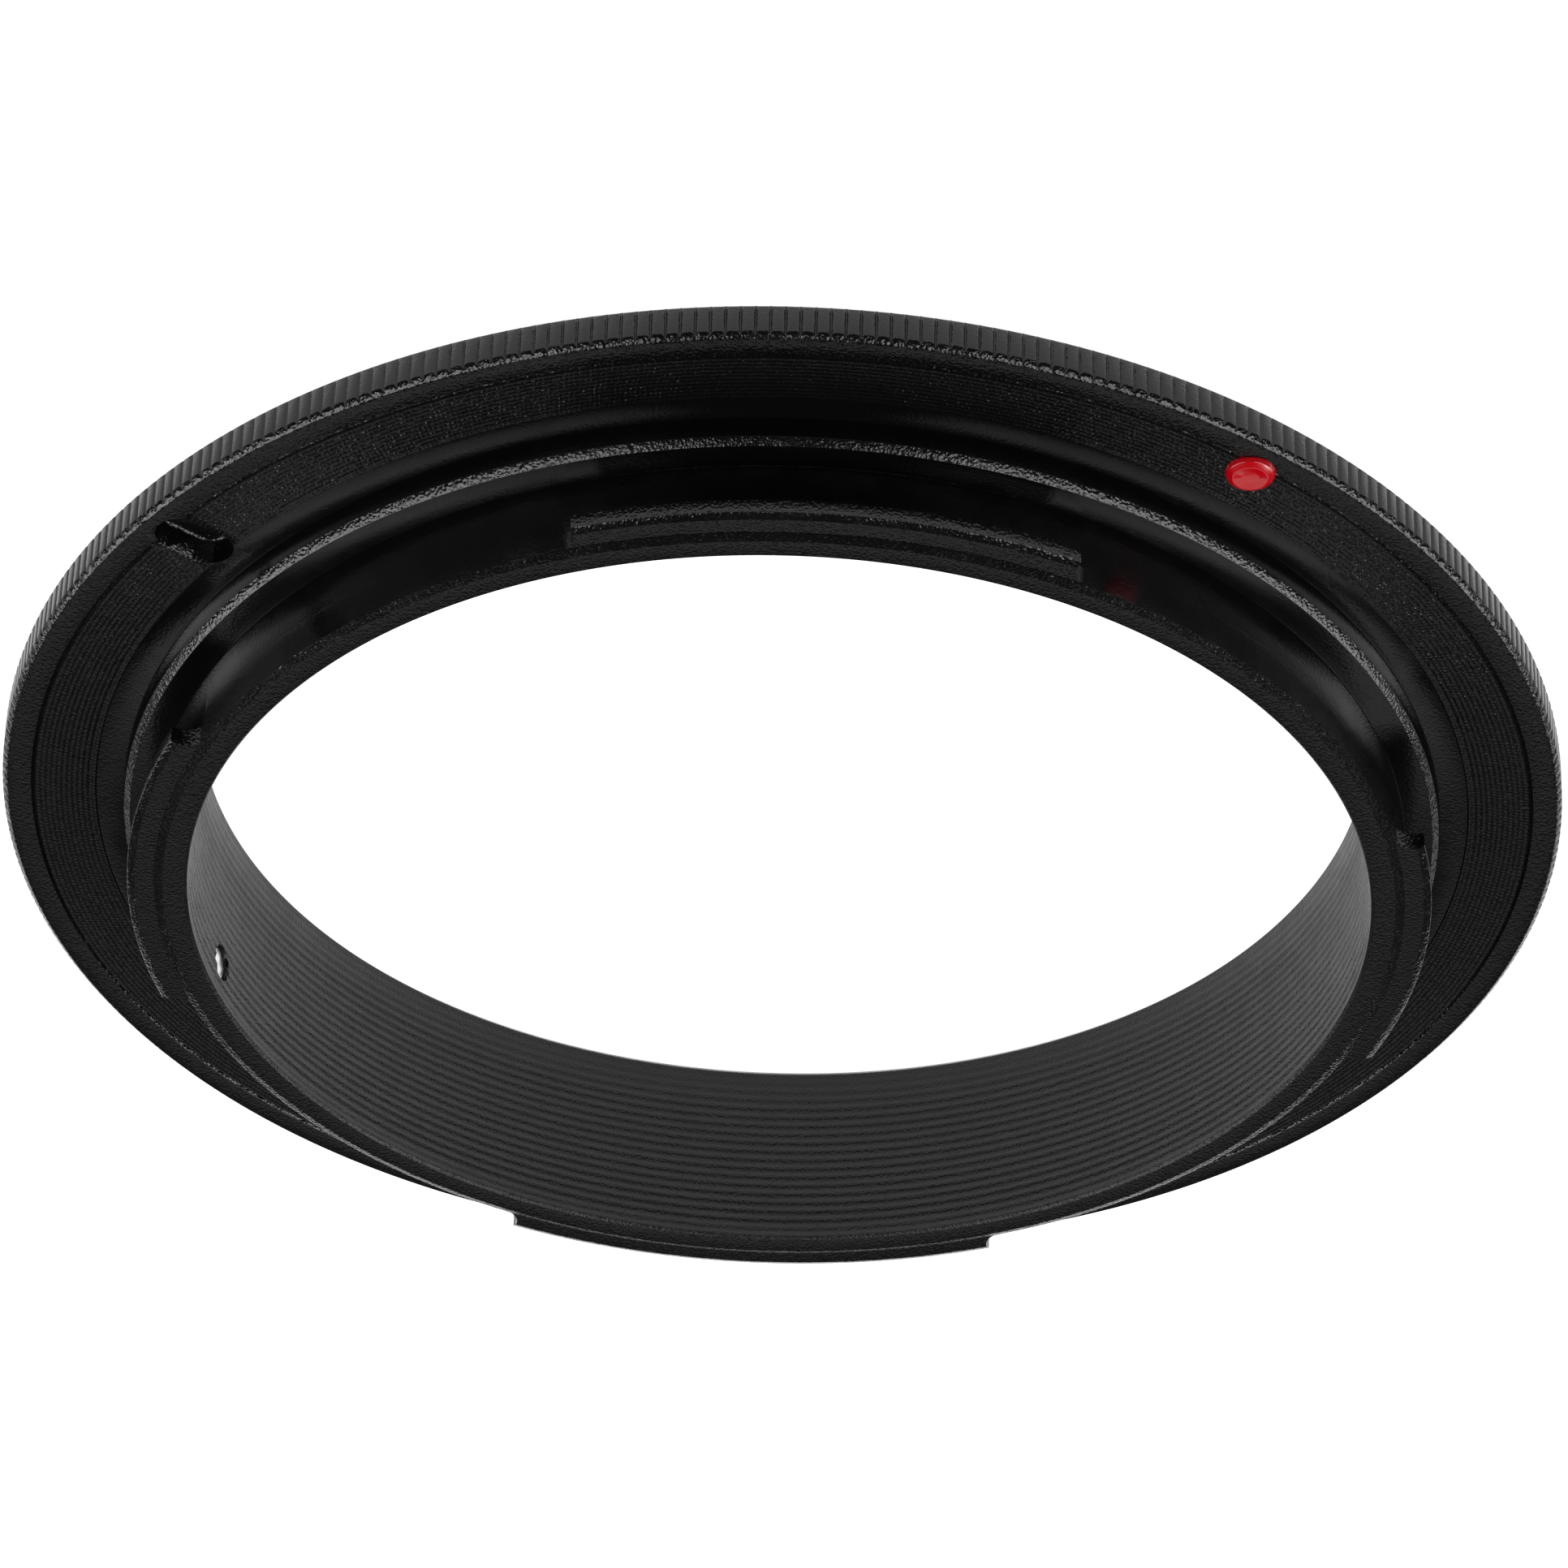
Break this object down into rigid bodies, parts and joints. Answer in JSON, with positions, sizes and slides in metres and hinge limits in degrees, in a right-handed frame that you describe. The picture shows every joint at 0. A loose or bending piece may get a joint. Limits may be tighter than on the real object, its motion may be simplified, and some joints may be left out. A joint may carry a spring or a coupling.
{
  "type": "macro reverse ring",
  "caption": "Black aluminium macro reverse ring: knurled flange with a lug bayonet on one side and a filter-thread boss on the other, round a clear bore.",
  "frame": {"origin": "on the light axis, at the end face of the lens-thread boss, which is the bottom of the ring", "axes": "+Z along the light axis from the thread boss to the bayonet; +Y from the axis towards the red index dot"},
  "size_m": [0.065, 0.065, 0.0089],
  "materials": {
    "black_anodised_aluminium": "fine bead-blasted black anodising over turned grooves",
    "red_enamel": "glossy domed enamel",
    "bright_steel": "bright ground pin"
  },
  "bodies": {
    "root": {"ring_body": "black_anodised_aluminium", "index_dot": "red_enamel", "stop_pin": "bright_steel"}
  },
  "joints": []
}
